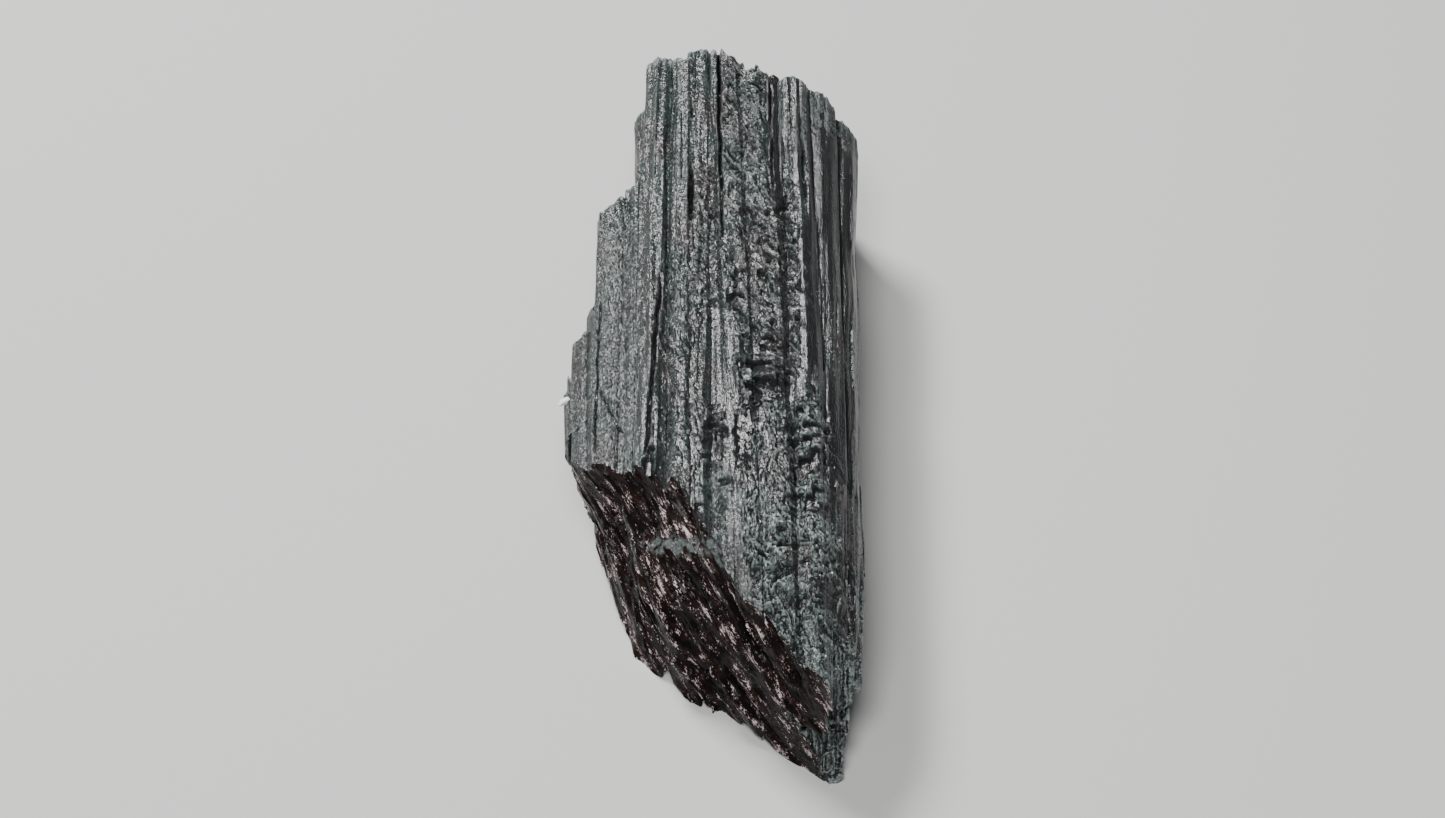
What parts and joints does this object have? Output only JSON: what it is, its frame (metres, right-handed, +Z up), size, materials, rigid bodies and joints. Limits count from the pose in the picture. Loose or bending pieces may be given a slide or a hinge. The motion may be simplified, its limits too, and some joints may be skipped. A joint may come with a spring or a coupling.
{
  "type": "black tourmaline fan",
  "caption": "Fan of intergrown ribbed black tourmaline crystals with a stepped end and a slanting break, a hand specimen to display on a flat surface.",
  "frame": {"origin": "under the middle of the specimen's bounding box, on the surface it lies on", "axes": "+Y along the crystals towards their stepped broken ends, +Z up out of the ribbed upper side"},
  "size_m": [0.0302, 0.0776, 0.0208],
  "materials": {
    "tourmaline": "vitreous on the crystal faces, frosted where they are etched",
    "feldspar": "dull pearly"
  },
  "bodies": {
    "root": {"black_tourmaline": "tourmaline", "feldspar_grain": "feldspar"}
  },
  "joints": []
}
